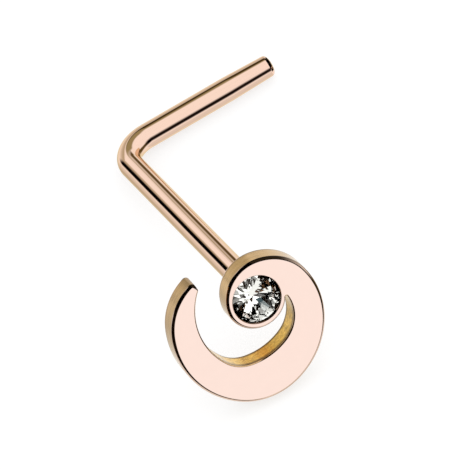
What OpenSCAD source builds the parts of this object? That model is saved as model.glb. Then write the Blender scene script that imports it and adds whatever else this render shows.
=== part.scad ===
// L-shaped nose stud: a polished swirl plate with one round stone, on a bent wire post.
// It lies as it rests by itself: the leg flat on the floor, the post rising from the bend,
// and the rim of the swirl touching down in front.
// Origin: centre of the bounding box, on the floor. +X runs along the leg to its tip,
// -Y is the side that the swirl faces, +Z is up.

/* [Wire] */
// Diameter of the round wire
wire_d = 0.8; // [0.6:0.05:0.9]
// Post, from the back of the plate to the corner of the centre lines
post_len = 9.45; // [7:0.05:10]
// Leg, from the corner of the centre lines to its tip
leg_len = 5.7; // [5:0.1:7]
// Radius of the bend, at the centre line
bend_r = 1.05; // [0.6:0.05:1.2]
// Length of the slightly tapered end of the leg
taper_len = 1.6; // [0.8:0.1:2]
// How much the taper takes off the radius
taper = 0.04; // [0:0.01:0.08]
// Rounding of the leg's end
tip_round = 0.15; // [0.05:0.01:0.2]

/* [Swirl plate] */
// Thickness of the plate
plate_t = 0.75; // [0.7:0.05:1.2]
// Rounding along the outer edge, left by polishing
outer_round = 0.09; // [0.05:0.01:0.12]
// Rounding along the hollow, which polishing hardly reaches
hollow_round = 0.04; // [0.02:0.01:0.06]

/* [Post on the plate] */
// Lean of the post away from square to the plate
post_lean = 11.1; // [0:0.1:20]
// Direction of that lean across the plate, from its +X
lean_dir = 135.6; // [90:0.1:180]
// Direction of the leg across the plate, from its +X
leg_dir = 26.8; // [0:0.1:60]
// Where the post leaves the plate's back, across from the stone's centre
post_x = 0.09; // [-0.2:0.01:0.2]
// The same, along the plate's Y
post_y = 0.09; // [-0.2:0.01:0.2]

/* [Stone] */
// Diameter of the stone at its girdle
stone_d = 1.5; // [1.4:0.01:1.52]
// Width of the table, as a share of the diameter
table_share = 0.56; // [0.5:0.01:0.65]
// Height of the crown, from the girdle to the table
crown_h = 0.22; // [0.15:0.01:0.3]
// Height of the girdle
girdle_h = 0.03; // [0.02:0.01:0.05]
// Depth of the pavilion, from the girdle to its point
pavilion_h = 0.47; // [0.4:0.01:0.5]
// Depth of the girdle below the plate's face
stone_sink = 0.1; // [0.05:0.01:0.15]
// Turn of the stone in its seat
stone_turn = 12; // [0:1:44]

/* [Seat] */
// Diameter of the seat that holds the stone
seat_d = 1.54; // [1.54:0.01:1.6]
// Gap under the stone, measured along its axis
seat_gap = 0.04; // [0.02:0.01:0.08]
// Bevel round the mouth of the seat
seat_bevel = 0.02; // [0.01:0.01:0.03]

/* [Hidden] */

wire_r = wire_d / 2;
seat_r = seat_d / 2;
stone_r = stone_d / 2;
edge_steps = 2;   // flats across each rounded edge
overlap = 0.12;   // how far the post runs into the plate that it is soldered to
wire_fn = 48;     // sides of the wire
bend_fn = 96;     // steps of a full turn of the bend
seat_fn = 96;     // sides of the seat
kites = 8;        // the round brilliant is eightfold
rose_gold = [0.93, 0.72, 0.62];
clear_stone = [0.85, 0.92, 0.95];

// The plate's flat face is drawn in its own plane, round the stone's centre. The outline
// starts on the rim beside the notch and runs clockwise: round the rim, up over the
// outer side, down to the tip, across it, and back through the hollow to the notch.
// Each row is one arc: its radius, its turn in degrees (minus is clockwise), the number
// of straight steps it is drawn in, and the rounding of the edge at its end.
RADIUS = 0;
TURN = 1;
STEPS = 2;
ROUNDING = 3;
rim_r = 0.88;
rim_start = 2;
rim_arcs = [[rim_r, -142, 14, outer_round]];
outer_arcs = [
    [0.65, -11, 2, outer_round],
    [1.15, -99, 11, outer_round],
    [1.50, -64, 7, outer_round],
    [2.45, -90, 14, outer_round],
    [2.05, -55, 8, outer_round],
    [2.70, -71, 12, outer_round],
    [1.80, -52, 8, outer_round],
    [0.05, -77, 3, outer_round]
];
tip_arcs = [[0.90, -8, 1, hollow_round]];
hollow_arcs = [
    [0.04, -66, 3, hollow_round],
    [2.20, 74, 16, hollow_round],
    [1.10, 45, 5, hollow_round],
    [2.00, 37, 7, hollow_round],
    [1.20, 76, 13, hollow_round],
    [0.07, 143, 7, hollow_round]
];

// A place on the outline is [x, y, heading, rounding of the edge].
function beside(place, distance) = [
    place.x + distance * sin(place[2]),
    place.y - distance * cos(place[2])
];

function along_arc(place, arc, share) =
    let (side = sign(arc[TURN]) * arc[RADIUS],
         centre = beside(place, -side),
         heading = place[2] + share * arc[TURN],
         rounding = place[3] + share * (arc[ROUNDING] - place[3]))
    [centre.x + side * sin(heading), centre.y - side * cos(heading), heading, rounding];

function follow(place, arcs, row = 0) =
    row == len(arcs) ? [] :
    let (arc = arcs[row])
    concat(
        [for (step = [1 : arc[STEPS]]) along_arc(place, arc, step / arc[STEPS])],
        follow(along_arc(place, arc, 1), arcs, row + 1));

function steps_in(arcs, row = 0) =
    row == len(arcs) ? 0 : arcs[row][STEPS] + steps_in(arcs, row + 1);

start_place = [
    rim_r * cos(rim_start),
    rim_r * sin(rim_start),
    rim_start - 90,
    hollow_round
];
outline = follow(start_place, concat(rim_arcs, outer_arcs, tip_arcs, hollow_arcs));
outline_n = len(outline);

// Both long sides of the crescent, from the rim's left end to the tip, have this many
// steps, so that the flat faces are strips between them.
side_steps = steps_in(outer_arcs);
rail_start = steps_in(rim_arcs) - 1;

// The plate's edge, as rings from the front face round the edge to the back face.
// The rounding turns by this many degrees, and lies outside the flat face.
function ring_at(turn, back) = [
    for (place = outline)
        let (rounding = place[3],
             out = beside(place, -rounding * sin(turn)),
             depth = rounding * (1 - cos(turn)))
        [out.x, out.y, back ? depth - plate_t : -depth]
];
front_turns = [for (k = [0 : edge_steps]) 90 * k / edge_steps];
back_turns = [for (k = [edge_steps : -1 : 0]) 90 * k / edge_steps];
edge_rings = concat(
    [for (turn = front_turns) ring_at(turn, false)],
    [for (turn = back_turns) ring_at(turn, true)]);
plate_points = [for (ring = edge_rings) each ring];
back_ring = (len(edge_rings) - 1) * outline_n;

function ahead(i) = (rail_start + i) % outline_n;
function behind(i) = (rail_start - i + outline_n) % outline_n;

function face_strip(first, is_back) = [
    for (i = [0 : side_steps - 1])
        let (a = first + ahead(i),
             b = first + ahead(i + 1),
             c = first + behind(i + 1),
             d = first + behind(i))
        each i == 0
            ? [is_back ? [a, c, b] : [a, b, c]]
            : is_back ? [[a, c, b], [a, d, c]] : [[a, b, c], [a, c, d]]
];
wall_faces = [
    for (k = [0 : len(edge_rings) - 2], i = [0 : outline_n - 1])
        let (j = (i + 1) % outline_n,
             upper = k * outline_n,
             lower = upper + outline_n)
        each [[upper + i, lower + i, lower + j], [upper + i, lower + j, upper + j]]
];
plate_faces = concat(face_strip(0, false), wall_faces, face_strip(back_ring, true));

// The wire's own axes, given in the plate's frame, where the face looks along +Z:
// its X runs along the leg, and its Z up the post from the corner to the plate.
post_way = [
    sin(post_lean) * cos(lean_dir),
    sin(post_lean) * sin(lean_dir),
    -cos(post_lean)
];
leg_flat = [cos(leg_dir), sin(leg_dir)];
leg_rise = -(post_way.x * leg_flat.x + post_way.y * leg_flat.y) / post_way.z;
leg_way = [leg_flat.x, leg_flat.y, leg_rise];
wire_x = leg_way / norm(leg_way);
wire_z = -post_way;
wire_y = cross(wire_z, wire_x);
corner = [post_x, post_y, -plate_t] + post_len * post_way;

function seen_by_wire(point) =
    let (d = point - corner)
    [d * wire_x, d * wire_y, d * wire_z];

// The stud is turned about its leg until the swirl's rim comes down to the floor:
// this is the turn at which one point of the plate would touch it.
function touch_angle(point) =
    atan2(point.y, point.z) + 90 + asin(wire_r / norm([point.y, point.z]));

function laid_down(point) = [
    point.x,
    point.y * cos(rest_turn) - point.z * sin(rest_turn),
    point.y * sin(rest_turn) + point.z * cos(rest_turn) + wire_r
];

plate_by_wire = [for (point = plate_points) seen_by_wire(point)];
rest_turn = min([for (point = plate_by_wire) touch_angle(point)]);
plate_laid = [for (point = plate_by_wire) laid_down(point)];
middle_x = (leg_len + min([for (point = plate_laid) point.x])) / 2;
middle_y = (wire_r + min([for (point = plate_laid) point.y])) / 2;

module resting() {
    translate([-middle_x, -middle_y, wire_r])
        rotate([rest_turn, 0, 0])
            children();
}

module from_plate() {
    // Each row is one of the wire's axes, so this carries the plate's frame to the wire's.
    multmatrix([
        [wire_x.x, wire_x.y, wire_x.z, -corner * wire_x],
        [wire_y.x, wire_y.y, wire_y.z, -corner * wire_y],
        [wire_z.x, wire_z.y, wire_z.z, -corner * wire_z],
        [0, 0, 0, 1]
    ])
        children();
}

module swirl_plate() {
    polyhedron(plate_points, plate_faces, convexity = 6);
}

module post() {
    translate([0, 0, bend_r])
        cylinder(h = post_len - bend_r + overlap, r = wire_r, $fn = wire_fn);
}

module bend() {
    translate([bend_r, 0, bend_r])
        rotate([90, 0, 0])
            rotate([0, 0, 180])
                rotate_extrude(angle = 90, $fn = bend_fn)
                    translate([bend_r, 0])
                        circle(r = wire_r, $fn = wire_fn);
}

module leg_end() {
    end_r = wire_r - taper;
    core_r = end_r - tip_round;
    cylinder(h = taper_len - tip_round, r1 = wire_r, r2 = end_r, $fn = wire_fn);
    translate([0, 0, taper_len - tip_round])
        rotate_extrude($fn = wire_fn) {
            square([core_r, tip_round]);
            translate([core_r, 0])
                intersection() {
                    circle(r = tip_round, $fn = wire_fn);
                    square(tip_round);
                }
        }
}

module leg() {
    straight = leg_len - bend_r - taper_len;
    translate([bend_r, 0, 0])
        rotate([0, 90, 0])
            cylinder(h = straight, r = wire_r, $fn = wire_fn);
    translate([bend_r + straight, 0, 0])
        rotate([0, 90, 0])
            leg_end();
}

// The seat is a straight hole as deep as the girdle, with a cone under it for the
// pavilion and a bevelled mouth.
module seat() {
    floor_z = -stone_sink - girdle_h - seat_gap;
    cone_h = pavilion_h * seat_r / stone_r;
    clear_above = 1;
    translate([0, 0, floor_z])
        cylinder(h = clear_above - floor_z, r = seat_r, $fn = seat_fn);
    translate([0, 0, floor_z - cone_h])
        cylinder(h = cone_h, r1 = 0, r2 = seat_r, $fn = seat_fn);
    translate([0, 0, -seat_bevel])
        cylinder(h = 2 * seat_bevel, r1 = seat_r, r2 = seat_r + 2 * seat_bevel, $fn = seat_fn);
}

// Round brilliant: table, stars, kites and upper halves above the girdle,
// lower halves and main facets below it. Each half facet is cut in a flat plane,
// so the girdle's edges wave a little between its corners.
half_step = 180 / kites;
girdle_n = 4 * kites;

function round_point(radius, angle, z) = [radius * cos(angle), radius * sin(angle), z];

function height_on(a, b, c, point) =
    let (across = cross(b - a, c - a))
    a.z - (across.x * (point.x - a.x) + across.y * (point.y - a.y)) / across.z;

// One edge of the girdle. The half facets meet at the given peaks.
function girdle_edge(peaks, level) = [
    for (j = [0 : girdle_n - 1])
        let (left_angle = floor(j / 2) * half_step,
             left = round_point(stone_r, left_angle, level),
             right = round_point(stone_r, left_angle + half_step, level),
             here = round_point(stone_r, j * half_step / 2, level))
        j % 2 == 0 ? here : [here.x, here.y, height_on(left, right, peaks[floor(j / 4)], here)]
];

module brilliant() {
    table_r = table_share * stone_r;
    crown_slope = crown_h / (stone_r - table_r);
    star_r = (table_r * cos(half_step) + stone_r) / 2;
    star_z = crown_h - crown_slope * (star_r * cos(half_step) - table_r);
    point_z = -girdle_h - pavilion_h;
    lower_r = stone_r / 4;
    lower_z = point_z + pavilion_h * lower_r * cos(half_step) / stone_r;
    each_kite = [0 : kites - 1];

    table = [for (k = each_kite) round_point(table_r, 2 * k * half_step, crown_h)];
    stars = [for (k = each_kite) round_point(star_r, (2 * k + 1) * half_step, star_z)];
    lowers = [for (k = each_kite) round_point(lower_r, (2 * k + 1) * half_step, lower_z)];
    upper_edge = girdle_edge(stars, 0);
    lower_edge = girdle_edge(lowers, -girdle_h);

    // Where each ring of points begins in the list
    star = kites;
    upper = star + kites;
    lower = upper + girdle_n;
    main = lower + girdle_n;
    point = main + kites;

    facets = concat(
        [[for (k = each_kite) kites - 1 - k]],
        [for (k = each_kite)
            let (before = (k + kites - 1) % kites,
                 after = (k + 1) % kites,
                 g = [for (s = [0 : 4]) (4 * k + s) % girdle_n])
            each [
                [k, after, star + k],
                [k, star + k, upper + g[0], star + before],
                [star + k, upper + g[2], upper + g[1], upper + g[0]],
                [star + k, upper + g[4], upper + g[3], upper + g[2]],
                [main + k, lower + g[0], lower + g[1], lower + g[2]],
                [main + k, lower + g[2], lower + g[3], lower + g[4]],
                [point, main + before, lower + g[0], main + k]
            ]],
        [for (j = [0 : girdle_n - 1])
            let (next = (j + 1) % girdle_n)
            [upper + j, upper + next, lower + next, lower + j]]);
    polyhedron(
        concat(table, stars, upper_edge, lower_edge, lowers, [[0, 0, point_z]]),
        facets,
        convexity = 2);
}

module stud() {
    color(rose_gold)
        resting()
            difference() {
                union() {
                    from_plate() swirl_plate();
                    post();
                    bend();
                    leg();
                }
                from_plate() seat();
            }
}

module stone() {
    color(clear_stone)
        resting()
            from_plate()
                translate([0, 0, -stone_sink])
                    rotate([0, 0, stone_turn])
                        brilliant();
}

stud();
stone();
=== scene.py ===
"""Looks of the l-shaped nose stud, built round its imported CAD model.

The metal is made again as one finely divided mesh of the same form, worked out in
millimetres in the plate's own frame: the origin is the stone's centre on the face, and
the face looks along +Z. The wire's frame has its origin at the corner of the wire's
centre lines, its X along the leg and its Z up the post.
"""

import math
from collections import namedtuple

import bpy
from mathutils import Matrix, Vector
from mathutils.geometry import delaunay_2d_cdt

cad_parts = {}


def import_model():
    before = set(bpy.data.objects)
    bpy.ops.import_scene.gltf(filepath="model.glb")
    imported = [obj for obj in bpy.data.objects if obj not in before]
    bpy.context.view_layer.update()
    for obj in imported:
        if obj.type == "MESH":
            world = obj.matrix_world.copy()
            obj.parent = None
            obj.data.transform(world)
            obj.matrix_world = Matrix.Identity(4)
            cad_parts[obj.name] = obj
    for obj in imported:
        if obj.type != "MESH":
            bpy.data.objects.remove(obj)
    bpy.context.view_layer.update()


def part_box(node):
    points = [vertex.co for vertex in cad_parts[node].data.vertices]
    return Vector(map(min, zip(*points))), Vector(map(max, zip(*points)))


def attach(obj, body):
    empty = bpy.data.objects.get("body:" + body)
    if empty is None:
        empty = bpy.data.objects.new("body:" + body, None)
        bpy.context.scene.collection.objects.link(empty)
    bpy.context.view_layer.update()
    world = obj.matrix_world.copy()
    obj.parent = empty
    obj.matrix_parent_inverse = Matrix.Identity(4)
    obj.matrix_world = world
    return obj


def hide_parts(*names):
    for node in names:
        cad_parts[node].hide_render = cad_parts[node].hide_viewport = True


MM = 0.001

# Wire, in millimetres as in the CAD model
WIRE_R = 0.4
POST_LEN = 9.45
LEG_LEN = 5.7
BEND_R = 1.05
TAPER_LEN = 1.6
TAPER = 0.04
TIP_ROUND = 0.15
FILLET_R = 0.1
WIRE_SIDES = 96
FILLET_STEPS = 8
POST_STEPS = 24
BEND_STEPS = 45
LEG_STEPS = 16
TIP_STEPS = 12
TAPER_EASE = 4            # the taper's slope sets in over one part in so many
NEARLY_SQUARE = math.radians(89.9)

# Swirl plate
PLATE_T = 0.75
OUTER_ROUND = 0.09
HOLLOW_ROUND = 0.04
STEP_TURN = 2.0
STEP_LENGTH = 0.08
EDGE_STEPS = 10
SAME_PLACE = 1e-7

# Where the post stands on the plate, and how it leans, in degrees
POST_LEAN = 11.1
LEAN_DIR = 135.6
LEG_DIR = 26.8
POST_FOOT = Vector((0.09, 0.09))

# Seat of the stone: (radius, height) from its mouth down to its point
SEAT_PROFILE = [(0.79, 0.0), (0.77, -0.02), (0.77, -0.17), (0.0, -0.6525)]
SEAT_SIDES = 144

# Cut stone: its refraction and tint, how much of its surface's gloss shows outside, and
# the foil behind it
GLASS_IOR = 1.38
GLASS_TINT = (0.99, 0.99, 0.97, 1)
OUTSIDE_GLOSS = 0.1
FOIL_TINT = (0.95, 0.95, 0.94, 1)
FOIL_ROUGHNESS = 0.03
FOIL_LIMIT = 0.05         # the foil is on the facets whose normal rises less than this

# Outline of the plate's flat face. It starts on the rim beside the notch and runs
# clockwise. Each row is one arc: its radius, its turn in degrees (minus is clockwise),
# the rounding of the edge at its end, and the surface of its wall.
RIM_R = 0.88
RIM_START = 2.0
OUTLINE = [
    (RIM_R, -142, OUTER_ROUND, "wall"),
    (0.65, -11, OUTER_ROUND, "wall"),
    (1.15, -99, OUTER_ROUND, "wall"),
    (1.50, -64, OUTER_ROUND, "wall"),
    (2.45, -90, OUTER_ROUND, "wall"),
    (2.05, -55, OUTER_ROUND, "wall"),
    (2.70, -71, OUTER_ROUND, "wall"),
    (1.80, -52, OUTER_ROUND, "wall"),
    (0.05, -77, OUTER_ROUND, "wall"),
    (0.90, -8, HOLLOW_ROUND, "wall"),
    (0.04, -66, HOLLOW_ROUND, "hollow"),
    (2.20, 74, HOLLOW_ROUND, "hollow"),
    (1.10, 45, HOLLOW_ROUND, "hollow"),
    (2.00, 37, HOLLOW_ROUND, "hollow"),
    (1.20, 76, HOLLOW_ROUND, "hollow"),
    (0.07, 143, HOLLOW_ROUND, "hollow"),
]

# Camera, as the photograph was taken: its direction from the part and its roll, in
# degrees, its distance from the stone, and the pixel where the stone's centre falls
IMAGE_SIZE = 470
CAMERA_AZIMUTH = -108.506
CAMERA_ELEVATION = 51.583
CAMERA_ROLL = -15.724
CAMERA_DISTANCE = 150.0
STONE_PIXEL = (257.0, 299.7)
PIXELS_PER_MM = 33.2
SENSOR = 36.0
CAMERA_NEAR = 0.001       # metres

# Floor: half its side in metres, its colour, and the light that makes it white
FLOOR_HALF = 0.4
FLOOR_GREY = (0.35, 0.35, 0.35, 1)
FLOOR_GLOW = 0.7

# The white tent and the dark cards in it, as the polished metal reflects them. A card
# lies between limits in degrees: its azimuth from the part, its height over the level
# horizon or over a tilted one, and how far it lies to the east, which is +X. Each limit
# is (angle, width of the faded edge there).
TENT_LIGHT = 1.1
TILTED_UP = (20, 66)
WHITE = (1, 1, 1, 1)
BLACK = (0.01, 0.006, 0.004)
UMBER = (0.11, 0.08, 0.025)
OLIVE = (0.32, 0.29, 0.15)
TAN = (0.5, 0.46, 0.34)
DIM = (0.78, 0.77, 0.74)
TEAL = (0.05, 0.075, 0.085)
CARDS = [
    {"colour": BLACK, "azimuth": ((-208, 3), (-89, 3)), "height": ((-28, 4), (7, 4))},
    {"colour": BLACK, "azimuth": ((-226, 4), (-60, 4)), "height": ((4.5, 2), (95, 2)),
     "east": ((-95, 2), (7, 1.6))},
    {"colour": BLACK, "height": ((32, 6), (95, 6)), "east": ((-95, 2), (7, 1.6))},
    {"colour": BLACK, "azimuth": ((119, 8), (138, 4)), "height": ((-2, 4), (36, 4))},
    {"colour": BLACK, "azimuth": ((-83.3, 1.5), (-45, 34)), "tilted": ((-15, 14), (17, 18))},
    {"colour": UMBER, "azimuth": ((-76, 8), (48, 2)), "tilted": ((-13, 8), (10, 8))},
    {"colour": BLACK, "azimuth": ((114.5, 12), (133, 6)), "tilted": ((-12, 6), (9, 6))},
    {"colour": DIM, "azimuth": ((118, 10), (150, 10)), "tilted": ((-90, 2), (-18, 16))},
    {"colour": DIM, "azimuth": ((95, 12), (150, 10)), "height": ((-90, 2), (-30, 16))},
    {"colour": DIM, "azimuth": ((-83.3, 1.5), (-40, 8)), "tilted": ((-90, 2), (-26, 14))},
    {"colour": UMBER, "azimuth": ((73, 5), (86, 4)), "height": ((24.5, 8), (53, 10))},
    {"colour": UMBER, "azimuth": ((51, 6), (68, 13)), "height": ((0, 8), (16.5, 11))},
    {"colour": OLIVE, "azimuth": ((40, 12), (78, 8)), "height": ((18, 8), (62, 14))},
    {"colour": TAN, "azimuth": ((76, 10), (122, 6)), "height": ((0, 34), (17.5, 4))},
]

# The one card that the plate's flat face shows: the dim side of the tent
FACE_CARDS = [
    {"colour": DIM, "azimuth": ((-230, 40), (-110, 40)), "height": ((-60, 40), (50, 40))},
]

# The tent and the cards that the cut stone shows
STONE_LIGHT = (1.5, 1.5, 1.5, 1)
STONE_CARDS = [
    {"colour": BLACK, "azimuth": ((-199, 4), (-117, 4)), "height": ((-42, 4), (10, 4))},
    {"colour": BLACK, "azimuth": ((-78, 4), (-47, 4)), "height": ((21, 4), (50, 4))},
    {"colour": TEAL, "azimuth": ((123, 4), (207, 4)), "height": ((38, 4), (63, 4))},
    {"colour": BLACK, "azimuth": ((-114, 4), (-92, 4)), "height": ((-8, 4), (12, 4))},
    {"colour": BLACK, "azimuth": ((-21, 4), (19, 4)), "height": ((-29, 4), (1, 4))},
    {"colour": BLACK, "azimuth": ((-96, 3), (-37, 3)), "height": ((10, 3), (15, 3))},
    {"colour": TEAL, "azimuth": ((19, 4), (28, 4)), "height": ((6, 4), (27, 4))},
    {"colour": BLACK, "azimuth": ((-143, 4), (-83, 4)), "height": ((19, 4), (45, 4))},
    {"colour": BLACK, "azimuth": ((-183, 4), (-161, 4)), "height": ((-30, 4), (28, 4))},
    {"colour": BLACK, "azimuth": ((-85, 4), (-67, 4)), "height": ((-19, 4), (4, 4))},
    {"colour": BLACK, "azimuth": ((144, 4), (164, 4)), "height": ((-44, 4), (12, 4))},
]

# Metal: the values of noise between which a scratch sets in, the number of smudges in a
# millimetre, and by how much they make it rougher or smoother
SCRATCH_NOISE = (0.3, 0.7)
SMUDGES = 1.6
SMUDGE_SPREAD = 0.3

# Colours of the metal. The edge, hollow edge, wall, hollow and seat colours are darker
# shaded copies of the one rose gold: painted shade.
PINK = (0.905, 0.71, 0.63)
WIRE_GOLD = (0.885, 0.635, 0.51)
SHADED_EDGE_COLOUR = (0.68, 0.5, 0.39)
SHADED_HOLLOW_EDGE_COLOUR = (0.68, 0.46, 0.25)
SHADED_WALL_COLOUR = (0.64, 0.415, 0.18)
SHADED_HOLLOW_COLOUR = (0.92, 0.565, 0.115)
SHADOWED_SEAT_COLOUR = (0.12, 0.06, 0.03)
SLANT_OLIVE = (0.78, 0.72, 0.52)

# Painted shade on the plate's edge and walls: dark reflections and shade painted into the
# metal's colour. Its colour, and rows of where it begins, where it is full and how strong it
# then is. Such a place is a length of outline, from its start, or a height over the plate's
# face, both in millimetres.
PAINTED_SHADE_COLOUR = (0.02, 0.012, 0.006, 1)
TOP_EDGE_START = (3.7, 4.2, 1.0)
TOP_EDGE_END = (6.2, 5.0, 1.0)
TIP_EDGE = (16.68, 16.76, 1.0)
WALL_BACK = (-0.56, -0.68, 0.5)
WALL_NEAR_TIP = (14.4, 16.4, 0.12)
WALL_AT_TIP = (16.5, 16.8, 0.25)
HOLLOW_FRONT = (-0.22, -0.05, 0.85)
HOLLOW_BACK = (-0.57, -0.69, 0.85)
HOLLOW_END = (22.0, 22.8, 0.22)


def polar(radius, angle, z=0.0):
    """The place at a radius and an angle in degrees, at height z."""
    turn = math.radians(angle)
    return Vector((radius * math.cos(turn), radius * math.sin(turn), z))


def direction(azimuth, elevation):
    """A unit vector that points where two angles in degrees say."""
    rise = math.radians(elevation)
    return polar(math.cos(rise), azimuth, math.sin(rise))


# Skin of the metal


# A corner of a face. Its place and its UV are in millimetres.
Corner = namedtuple("Corner", "at normal uv")


def ring(row):
    """The places of a row of corners that ends where it starts."""
    return [corner.at for corner in row[:-1]]


class Skin:
    """Faces that share their points, with a normal and a UV of their own at each corner."""

    def __init__(self):
        self.points = []
        self.index = {}
        self.faces = []
        self.normals = []
        self.uvs = []
        self.surfaces = []

    def point(self, place):
        """The number of the point at a place, which is added if it is new."""
        key = tuple(place)
        if key not in self.index:
            self.index[key] = len(self.points)
            self.points.append(place)
        return self.index[key]

    def face(self, corners, surface):
        """One face. It loses corners that fall together and is turned to its normal."""
        corners = [c for i, c in enumerate(corners) if c.at != corners[i - 1].at]
        if len(corners) < 3:
            return
        start = corners[0]
        facing = (corners[1].at - start.at).cross(corners[-1].at - start.at)
        if facing.dot(start.normal) < 0:
            corners = corners[::-1]
        self.faces.append([self.point(c.at) for c in corners])
        self.normals.extend(c.normal for c in corners)
        self.uvs.extend(c.uv for c in corners)
        self.surfaces.append(surface)

    def strip(self, first, second, surface):
        """Quads between two rows of corners. surface may give each quad its own."""
        for i in range(len(first) - 1):
            kind = surface if isinstance(surface, str) else surface[i]
            self.face([first[i], first[i + 1], second[i + 1], second[i]], kind)

    def fill(self, rings, normal, surface):
        """Triangles between an outer ring of places and the rings of the holes in it."""
        points = [p for places in rings for p in places]
        edges = []
        for places in rings:
            start = len(edges)
            count = len(places)
            edges += [(start + i, start + (i + 1) % count) for i in range(count)]
        flat = [p.to_2d() for p in points]
        _, _, triangles, sources, _, _ = delaunay_2d_cdt(flat, edges, [], 0, SAME_PLACE)
        for triangle in triangles:
            three = [points[sources[v][0]] for v in triangle]
            middle = sum(three, Vector()) / 3
            crossings = sum(crosses(middle, points[a], points[b]) for a, b in edges)
            if crossings % 2:
                self.face([Corner(p, normal, (p.x, p.y)) for p in three], surface)

    def make(self, name, matrix, materials):
        """A mesh object of the faces. materials gives each surface's material."""
        mesh = bpy.data.meshes.new(name)
        mesh.from_pydata([matrix @ p * MM for p in self.points], [], self.faces)
        mesh.shade_smooth()
        for item, uv in zip(mesh.uv_layers.new(name="surface").data, self.uvs):
            item.uv = uv
        surfaces = list(materials)
        for surface in surfaces:
            mesh.materials.append(materials[surface])
        slots = [surfaces.index(s) for s in self.surfaces]
        mesh.polygons.foreach_set("material_index", slots)
        turn = matrix.to_3x3()
        mesh.normals_split_custom_set([(turn @ n).normalized() for n in self.normals])
        piece = bpy.data.objects.new(name, mesh)
        bpy.context.scene.collection.objects.link(piece)
        return piece


def crosses(point, a, b):
    """Whether a ray along +X from point crosses the edge from a to b."""
    if (a.y > point.y) == (b.y > point.y):
        return False
    return point.x < a.x + (point.y - a.y) * (b.x - a.x) / (b.y - a.y)


# Outline of the plate


class Place:
    """A point of the outline: its heading in degrees, its edge's rounding, the length of
    outline before it and the surface of the wall that leads to it."""

    def __init__(self, at, heading, rounding, length=0.0, surface=None):
        self.at = at
        self.heading = heading
        self.rounding = rounding
        self.length = length
        self.surface = surface

    def outward(self):
        return polar(1.0, self.heading + 90)

    def along(self, radius, turn, rounding, surface, share):
        """The place a share of the way along the arc that starts here."""
        side = math.copysign(radius, turn)
        centre = self.at + side * self.outward()
        heading = self.heading + share * turn
        return Place(
            centre - side * polar(1.0, heading + 90),
            heading,
            self.rounding + share * (rounding - self.rounding),
            self.length + share * radius * math.radians(abs(turn)),
            surface,
        )


def follow(start, arcs):
    """The places along a chain of arcs."""
    places = []
    for radius, turn, rounding, surface in arcs:
        length = radius * math.radians(abs(turn))
        steps = math.ceil(max(abs(turn) / STEP_TURN, length / STEP_LENGTH))
        shares = [(k + 1) / steps for k in range(steps)]
        places += [start.along(radius, turn, rounding, surface, s) for s in shares]
        start = places[-1]
    return places


def plate_outline():
    start = Place(polar(RIM_R, RIM_START), RIM_START - 90, HOLLOW_ROUND)
    return follow(start, OUTLINE)


# Frames of the plate, the wire and the part


def wire_frame():
    """Matrix from the plate's frame to the wire's."""
    lean = math.radians(POST_LEAN)
    up_post = -polar(math.sin(lean), LEAN_DIR, -math.cos(lean))
    leg = polar(1.0, LEG_DIR)
    leg.z = -leg.dot(up_post) / up_post.z
    leg.normalize()
    corner = Vector((*POST_FOOT, -PLATE_T)) - POST_LEN * up_post
    axes = Matrix((leg, up_post.cross(leg), up_post)).to_4x4()
    return axes @ Matrix.Translation(-corner)


def part_frame(to_wire, plate_points):
    """Matrix from the plate's frame to the part's: the stud lies on its leg, turned until
    the plate's rim touches the floor, with the leg where the CAD model has it."""
    turns = []
    for point in plate_points:
        y, z = (to_wire @ point).yz
        turns.append(math.atan2(y, z) + math.pi / 2 + math.asin(WIRE_R / math.hypot(y, z)))
    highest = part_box("stud")[1] / MM
    leg = Vector((highest.x - LEG_LEN, highest.y - WIRE_R, WIRE_R))
    return Matrix.Translation(leg) @ Matrix.Rotation(min(turns), 4, "X") @ to_wire


# Surfaces of the plate


def edge_row(outline, turn, back):
    """One row of corners round the plate, where its edge has turned by so many degrees."""
    across = math.sin(math.radians(turn))
    down = math.cos(math.radians(turn))
    facing = Vector((0, 0, -1 if back else 1))
    row = []
    for place in outline + outline[:1]:
        at = place.at + place.rounding * across * place.outward()
        depth = place.rounding * (1 - down)
        at.z = depth - PLATE_T if back else -depth
        normal = across * place.outward() + down * facing
        row.append(Corner(at, normal, (place.length, at.z)))
    # The row ends where it starts, one step further along the outline.
    end_uv = (outline[-1].length + STEP_LENGTH, row[0].uv[1])
    row[-1] = row[-1]._replace(at=row[0].at, uv=end_uv)
    return row


def edge_rows(outline, back):
    """Rows of corners round the plate, from a flat face to the wall."""
    return [edge_row(outline, 90 * k / EDGE_STEPS, back) for k in range(EDGE_STEPS + 1)]


def add_plate(skin, outline, foot):
    """The plate, with its seat. foot is the ring where the post leaves its back."""
    up = Vector((0, 0, 1))
    front = edge_rows(outline, False)
    back = edge_rows(outline, True)
    walls = [place.surface for place in outline[1:] + outline[:1]]
    edges = ["edge" if surface == "wall" else "hollow_edge" for surface in walls]
    for rows in (front, back):
        for first, second in zip(rows, rows[1:]):
            skin.strip(first, second, edges)
    skin.strip(front[-1], back[-1], walls)
    mouth = add_seat(skin)
    skin.fill([ring(front[0]), mouth], up, "face")
    skin.fill([ring(back[0]), foot], -up, "back")


def seat_row(radius, z, slope):
    """A row of corners round the seat. slope is their normal: its parts outward and up."""
    row = []
    for k in range(SEAT_SIDES + 1):
        angle = 360 * (k % SEAT_SIDES) / SEAT_SIDES
        normal = polar(slope.x, angle, slope.y)
        row.append(Corner(polar(radius, angle, z), normal, (angle / 90, z)))
    return row


def add_seat(skin):
    """The hole for the stone. Returns the ring of its mouth."""
    rows = []
    for (upper_r, upper_z), (lower_r, lower_z) in zip(SEAT_PROFILE, SEAT_PROFILE[1:]):
        slope = Vector((lower_z - upper_z, upper_r - lower_r)).normalized()
        upper = seat_row(upper_r, upper_z, slope)
        skin.strip(upper, seat_row(lower_r, lower_z, slope), "seat")
        rows.append(upper)
    return ring(rows[0])


# Surfaces of the wire


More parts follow.
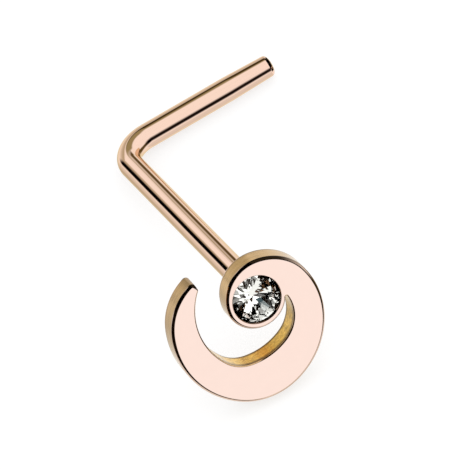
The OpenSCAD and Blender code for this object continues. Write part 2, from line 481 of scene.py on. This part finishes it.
def wire_row(centre, out, radius, lean, length, to_plate):
    """A row of corners round the wire. out points away from the inside of the bend, and
    lean is how far the normal leans along the wire, as a share."""
    side = Vector((0, 1, 0))
    ahead = side.cross(out)
    turn = to_plate.to_3x3()
    row = []
    for k in range(WIRE_SIDES + 1):
        angle = 2 * math.pi * (k % WIRE_SIDES) / WIRE_SIDES
        radial = math.cos(angle) * out + math.sin(angle) * side
        place = to_plate @ (centre + radius * radial)
        normal = turn @ (radial + lean * ahead).normalized()
        around = 2 * math.pi * WIRE_R * k / WIRE_SIDES
        row.append(Corner(place, normal, (length, around)))
    return row


def wire_rows(to_plate, foot):
    """Rows of the whole wire, from the fillet on the plate's back to the tip."""
    rows = list(foot)
    left = Vector((-1, 0, 0))
    down = Vector((0, 0, -1))
    # The first level row is clear of the plate's slanting back.
    top = POST_LEN - 2 * WIRE_R
    for k in range(POST_STEPS):
        z = top + (BEND_R - top) * k / POST_STEPS
        rows.append(wire_row(Vector((0, 0, z)), left, WIRE_R, 0, top - z, to_plate))
    bend_start = top - BEND_R
    for k in range(BEND_STEPS):
        bend = math.pi / 2 * k / BEND_STEPS
        out = Vector((-math.cos(bend), 0, -math.sin(bend)))
        centre = Vector((BEND_R, 0, BEND_R)) + BEND_R * out
        length = bend_start + BEND_R * bend
        rows.append(wire_row(centre, out, WIRE_R, 0, length, to_plate))
    leg_start = bend_start + BEND_R * math.pi / 2
    for x, radius, lean in leg_profile():
        length = leg_start + x - BEND_R
        rows.append(wire_row(Vector((x, 0, 0)), down, radius, lean, length, to_plate))
    return rows


def leg_profile():
    """(place along the leg, radius, lean of the normal) from the bend to the flat tip."""
    taper_start = LEG_LEN - TAPER_LEN
    taper_end = LEG_LEN - TIP_ROUND
    slope = TAPER / (taper_end - taper_start)
    core = WIRE_R - TAPER - TIP_ROUND
    profile = []
    for k in range(LEG_STEPS):
        x = BEND_R + (taper_start - BEND_R) * k / LEG_STEPS
        profile.append((x, WIRE_R, 0.0))
    for k in range(LEG_STEPS):
        share = k / LEG_STEPS
        x = taper_start + (taper_end - taper_start) * share
        lean = slope * min(1.0, TAPER_EASE * share)
        profile.append((x, WIRE_R - TAPER * share, lean))
    for k in range(TIP_STEPS + 1):
        turn = math.pi / 2 * k / TIP_STEPS
        x = taper_end + TIP_ROUND * math.sin(turn)
        lean = math.tan(min(turn, NEARLY_SQUARE))
        profile.append((x, core + TIP_ROUND * math.cos(turn), max(slope, lean)))
    return profile


def foot_rows(to_wire, to_plate):
    """Rows of the solder fillet between the plate's back and the post."""
    back = to_wire.to_3x3() @ Vector((0, 0, -1))
    on_back = to_wire @ Vector((0, 0, -PLATE_T))
    turn = to_plate.to_3x3()
    rows = []
    for k in range(FILLET_STEPS + 1):
        bend = math.pi / 2 * (1 - k / FILLET_STEPS)
        spread = WIRE_R + FILLET_R * (1 - math.cos(bend))
        drop = FILLET_R * (1 - math.sin(bend))
        row = []
        for j in range(WIRE_SIDES + 1):
            angle = 2 * math.pi * (j % WIRE_SIDES) / WIRE_SIDES
            radial = Vector((-math.cos(angle), math.sin(angle), 0))
            at = spread * radial
            aside = back.x * (at.x - on_back.x) + back.y * (at.y - on_back.y)
            at.z = on_back.z - aside / back.z - drop
            normal = turn @ (math.cos(bend) * radial + math.sin(bend) * back).normalized()
            around = 2 * math.pi * WIRE_R * j / WIRE_SIDES
            row.append(Corner(to_plate @ at, normal, (-drop, around)))
        rows.append(row)
    return rows


def add_wire(skin, rows):
    for first, second in zip(rows, rows[1:]):
        skin.strip(first, second, "wire")
    # The flat end takes one normal, so that it looks flat.
    tip = rows[-1][:-1]
    skin.face([corner._replace(normal=tip[0].normal) for corner in tip], "wire")


# Materials


class Nodes:
    """A node tree, with short calls to add and link its nodes."""

    def __init__(self, tree):
        self.tree = tree
        tree.nodes.clear()

    def add(self, kind, **inputs):
        node = self.tree.nodes.new(kind)
        for name, value in inputs.items():
            self.feed(node.inputs[name.replace("_", " ")], value)
        return node

    def feed(self, socket, value):
        """Links an output to the socket, or sets the socket to a plain value."""
        if isinstance(value, bpy.types.NodeSocket):
            self.tree.links.new(value, socket)
        else:
            socket.default_value = value

    def math(self, operation, *values):
        node = self.add("ShaderNodeMath")
        node.operation = operation
        for socket, value in zip(node.inputs, values):
            self.feed(socket, value)
        return node.outputs["Value"]

    def dot(self, first, second):
        node = self.add("ShaderNodeVectorMath")
        node.operation = "DOT_PRODUCT"
        self.feed(node.inputs[0], first)
        self.feed(node.inputs[1], second)
        return node.outputs["Value"]

    def step(self, value, zero, one):
        """A soft step that is 0 where value is zero, and 1 where value is one."""
        node = self.add("ShaderNodeMapRange", Value=value, From_Min=zero, From_Max=one)
        node.interpolation_type = "SMOOTHSTEP"
        return node.outputs["Result"]

    def mix(self, factor, first, second, blend="MIX"):
        """A mix of two colours, each a value or an output."""
        node = self.add("ShaderNodeMix")
        node.data_type = "RGBA"
        node.blend_type = blend
        colours = [s for s in node.inputs if s.type == "RGBA"]
        self.feed(node.inputs[0], factor)
        self.feed(colours[0], first)
        self.feed(colours[1], second)
        return next(s for s in node.outputs if s.type == "RGBA")


def new_material(name):
    """A material and its empty node tree."""
    material = bpy.data.materials.new(name)
    material.use_nodes = True
    return material, Nodes(material.node_tree)


def metal(name, colour, roughness, grain, depth, tone, marks=None, slant=(1, 1, 1)):
    """Gold alloy with fine scratches. grain is how many scratches there are in a
    millimetre along the surface and across it, depth is in millimetres, and tone is how
    much darker they are. marks gives how much painted shade the surface has, from 0 to 1,
    at a place along and across it. slant is its tint where it is seen at a slant."""
    material, nodes = new_material("rose_gold_" + name)
    uv = nodes.add("ShaderNodeUVMap")
    uv.uv_map = "surface"
    stretched = nodes.add("ShaderNodeMapping", Vector=uv.outputs["UV"], Scale=(*grain, 1))
    noise = nodes.add("ShaderNodeTexNoise", Vector=stretched.outputs["Vector"],
                      Scale=1.0, Detail=4.0, Roughness=0.6)
    scratches = nodes.step(noise.outputs["Fac"], *SCRATCH_NOISE)
    scratched = [c * (1 - tone) for c in colour]
    tint = nodes.mix(scratches, (*colour, 1), (*scratched, 1))
    # Painted shade: dark reflections and shade mixed into the metal's colour where marks
    # says.
    if marks:
        place = nodes.add("ShaderNodeSeparateXYZ", Vector=uv.outputs["UV"]).outputs
        tint = nodes.mix(marks(nodes, place["X"], place["Y"]), tint, PAINTED_SHADE_COLOUR)
    smudges = nodes.add("ShaderNodeTexNoise", Vector=uv.outputs["UV"],
                        Scale=SMUDGES, Detail=3.0)
    rough = nodes.add("ShaderNodeMapRange", Value=smudges.outputs["Fac"],
                      To_Min=roughness * (1 - SMUDGE_SPREAD),
                      To_Max=roughness * (1 + SMUDGE_SPREAD))
    bump = nodes.add("ShaderNodeBump", Height=scratches, Distance=depth * MM)
    shader = nodes.add("ShaderNodeBsdfPrincipled", Base_Color=tint, Metallic=1.0,
                       Specular_Tint=(*slant, 1), Roughness=rough.outputs["Result"],
                       Normal=bump.outputs["Normal"])
    nodes.add("ShaderNodeOutputMaterial", Surface=shader.outputs["BSDF"])
    return material


def painted_shade_share(nodes, place, row):
    """How much painted shade there is at a place along or across the surface."""
    start, full, strength = row
    return nodes.math("MULTIPLY", nodes.step(place, start, full), strength)


def edge_painted_reflection(nodes, along, across):
    """Painted dark reflection: the plate's edge is painted darkest along its top and at the
    tip of the swirl.
    """
    start = painted_shade_share(nodes, along, TOP_EDGE_START)
    end = painted_shade_share(nodes, along, TOP_EDGE_END)
    top = nodes.math("MULTIPLY", start, end)
    return nodes.math("ADD", top, painted_shade_share(nodes, along, TIP_EDGE))


def wall_painted_shade(nodes, along, across):
    """Painted shade: the wall is painted browner beside the plate's back and towards the tip
    of the swirl.
    """
    near_tip = painted_shade_share(nodes, along, WALL_NEAR_TIP)
    tip = nodes.math("ADD", near_tip, painted_shade_share(nodes, along, WALL_AT_TIP))
    return nodes.math("MAXIMUM", painted_shade_share(nodes, across, WALL_BACK), tip)


def hollow_painted_shade(nodes, along, across):
    """Painted shade: the wall of the hollow is painted browner beside its two edges and at
    its upper end.
    """
    front = painted_shade_share(nodes, across, HOLLOW_FRONT)
    edges = nodes.math("ADD", front, painted_shade_share(nodes, across, HOLLOW_BACK))
    return nodes.math("MAXIMUM", edges, painted_shade_share(nodes, along, HOLLOW_END))


# Each surface's colour and roughness, its scratches along and across, their depth and
# tone, and where it has them its painted shade and its tint at a slant
FINISHES = {
    "face": (PINK, 0.0, (3, 3), 0.0, 0.01),
    "edge": (SHADED_EDGE_COLOUR, 0.05, (2, 12), 0.0, 0.03, edge_painted_reflection),
    "hollow_edge": (SHADED_HOLLOW_EDGE_COLOUR, 0.1, (2, 12), 0.0, 0.05),
    "wall": (SHADED_WALL_COLOUR, 0.14, (1.5, 22), 0.001, 0.25, wall_painted_shade),
    "hollow": (SHADED_HOLLOW_COLOUR, 0.18, (9, 7), 0.002, 0.4, hollow_painted_shade),
    "back": (PINK, 0.12, (6, 1), 0.0005, 0.05),
    "seat": (SHADOWED_SEAT_COLOUR, 0.2, (3, 3), 0.0, 0.1),
    "wire": (WIRE_GOLD, 0.05, (0.5, 9), 0.0003, 0.03, None, SLANT_OLIVE),
}


def metals():
    return {name: metal(name, *finish) for name, finish in FINISHES.items()}


def glass():
    """Cut crystal glass. Its surface reflects all light that can't leave the stone."""
    material, nodes = new_material("clear_stone")
    refract = nodes.add("ShaderNodeBsdfRefraction", IOR=GLASS_IOR, Roughness=0.0,
                        Color=GLASS_TINT)
    reflect = nodes.add("ShaderNodeBsdfGlossy", Roughness=0.0)
    inside = nodes.add("ShaderNodeNewGeometry").outputs["Backfacing"]
    strength = nodes.math("MULTIPLY_ADD", inside, 1 - OUTSIDE_GLOSS, OUTSIDE_GLOSS)
    share = nodes.add("ShaderNodeFresnel", IOR=GLASS_IOR).outputs["Fac"]
    both = nodes.add("ShaderNodeMixShader")
    nodes.feed(both.inputs[0], nodes.math("MULTIPLY", share, strength))
    nodes.feed(both.inputs[1], refract.outputs["BSDF"])
    nodes.feed(both.inputs[2], reflect.outputs["BSDF"])
    nodes.add("ShaderNodeOutputMaterial", Surface=both.outputs["Shader"])
    return material


def foil():
    """Silver foil behind the stone's lower facets."""
    material, nodes = new_material("stone_foil")
    silver = nodes.add("ShaderNodeBsdfGlossy", Roughness=FOIL_ROUGHNESS, Color=FOIL_TINT)
    nodes.add("ShaderNodeOutputMaterial", Surface=silver.outputs["BSDF"])
    return material


def dress_stone(stone, to_plate):
    """Glass on the stone, and foil on the facets that face the bottom of the seat."""
    stone.data.materials.clear()
    stone.data.materials.append(glass())
    stone.data.materials.append(foil())
    turn = to_plate.to_3x3() @ stone.matrix_world.to_3x3()
    for polygon in stone.data.polygons:
        has_foil = (turn @ polygon.normal).z < FOIL_LIMIT
        polygon.material_index = 1 if has_foil else 0


# Stage


def make_world():
    """A white tent with dark cards. The flat mirror of the plate's face, the other metal
    and the stone each have cards of their own."""
    world = bpy.data.worlds.new("tent")
    bpy.context.scene.world = world
    world.use_nodes = True
    nodes = Nodes(world.node_tree)
    ray = nodes.add("ShaderNodeTexCoord").outputs["Generated"]
    kind = nodes.add("ShaderNodeLightPath").outputs
    round_metal = hang(nodes, ray, CARDS, WHITE)
    round_face = hang(nodes, ray, FACE_CARDS, WHITE)
    round_stone = hang(nodes, ray, STONE_CARDS, STONE_LIGHT)
    seen = nodes.mix(kind["Is Singular Ray"], round_metal, round_face)
    seen = nodes.mix(kind["Is Transmission Ray"], seen, round_stone)
    seen = nodes.mix(kind["Is Diffuse Ray"], seen, WHITE)
    back = nodes.add("ShaderNodeBackground", Color=seen, Strength=TENT_LIGHT)
    nodes.add("ShaderNodeOutputWorld", Surface=back.outputs["Background"])


def hang(nodes, ray, cards, light):
    """The colour of the tent with the given cards in it. light is its colour bare."""
    for card in cards:
        mask = card_mask(nodes, ray, card)
        light = nodes.mix(mask, light, (*card["colour"], 1), "MULTIPLY")
    return light


def card_mask(nodes, ray, card):
    """How much of the card there is where the ray meets the tent, from 0 to 1."""
    mask = 1.0
    for name, limits in card.items():
        if name == "colour":
            continue
        (low, low_fade), (high, high_fade) = limits
        off = angle_off(nodes, ray, name, (low + high) / 2)
        half = (high - low) / 2
        for edge, fade in ((-half, low_fade), (half, -high_fade)):
            step = nodes.step(off, edge - fade / 2, edge + fade / 2)
            mask = nodes.math("MULTIPLY", mask, step)
    return mask


def angle_off(nodes, ray, name, middle):
    """How many degrees the ray is off the middle of a card, in its azimuth or in its
    angle over the plane that name says."""
    if name == "azimuth":
        turned = nodes.add("ShaderNodeVectorRotate", Vector=ray, Axis=(0, 0, 1),
                           Angle=math.radians(-middle))
        flat = nodes.add("ShaderNodeSeparateXYZ", Vector=turned.outputs["Vector"]).outputs
        return nodes.math("DEGREES", nodes.math("ARCTAN2", flat["Y"], flat["X"]))
    upright = {"height": (0, 90), "tilted": TILTED_UP, "east": (0, 0)}[name]
    angle = nodes.math("ARCSINE", nodes.dot(ray, direction(*upright)))
    return nodes.math("SUBTRACT", nodes.math("DEGREES", angle), middle)


def make_floor():
    mesh = bpy.data.meshes.new("floor")
    signs = [(-1, -1), (1, -1), (1, 1), (-1, 1)]
    corners = [(FLOOR_HALF * x, FLOOR_HALF * y, 0) for x, y in signs]
    mesh.from_pydata(corners, [], [(0, 1, 2, 3)])
    floor = bpy.data.objects.new("floor", mesh)
    bpy.context.scene.collection.objects.link(floor)
    material, nodes = new_material("floor")
    shader = nodes.add("ShaderNodeBsdfPrincipled", Base_Color=FLOOR_GREY,
                       Roughness=0.9, Specular_IOR_Level=0.0,
                       Emission_Color=WHITE, Emission_Strength=FLOOR_GLOW)
    nodes.add("ShaderNodeOutputMaterial", Surface=shader.outputs["BSDF"])
    mesh.materials.append(material)
    # The metal mirrors the tent, and not the floor.
    floor.visible_glossy = False


def make_camera(stone_centre):
    """The camera of the photograph. stone_centre is in metres."""
    data = bpy.data.cameras.new("camera")
    data.sensor_width = SENSOR
    data.lens = SENSOR * PIXELS_PER_MM * CAMERA_DISTANCE / IMAGE_SIZE
    data.clip_start = CAMERA_NEAR
    camera = bpy.data.objects.new("camera", data)
    bpy.context.scene.collection.objects.link(camera)
    back = direction(CAMERA_AZIMUTH, CAMERA_ELEVATION)
    level = Vector((0, 0, 1)).cross(back).normalized()
    roll = Matrix.Rotation(math.radians(CAMERA_ROLL), 3, back)
    across = roll @ level
    axes = Matrix((across, back.cross(across), back)).transposed()
    right = (STONE_PIXEL[0] - IMAGE_SIZE / 2) / PIXELS_PER_MM
    up = (IMAGE_SIZE / 2 - STONE_PIXEL[1]) / PIXELS_PER_MM
    eye = stone_centre - axes @ Vector((right, up, -CAMERA_DISTANCE)) * MM
    camera.matrix_world = Matrix.Translation(eye) @ axes.to_4x4()
    bpy.context.scene.camera = camera


def main():
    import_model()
    bpy.context.scene.view_settings.view_transform = "Standard"

    outline = plate_outline()
    to_wire = wire_frame()
    to_plate = to_wire.inverted()
    edge = edge_rows(outline, False) + edge_rows(outline, True)
    to_part = part_frame(to_wire, [corner.at for row in edge for corner in row])

    skin = Skin()
    foot = foot_rows(to_wire, to_plate)
    add_plate(skin, outline, ring(foot[0]))
    add_wire(skin, wire_rows(to_plate, foot))
    stud = skin.make("stud_polished", to_part, metals())
    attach(stud, "root")
    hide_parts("stud")

    dress_stone(bpy.data.objects["stone"], to_part.inverted())

    make_world()
    make_floor()
    make_camera(to_part.translation * MM)


main()
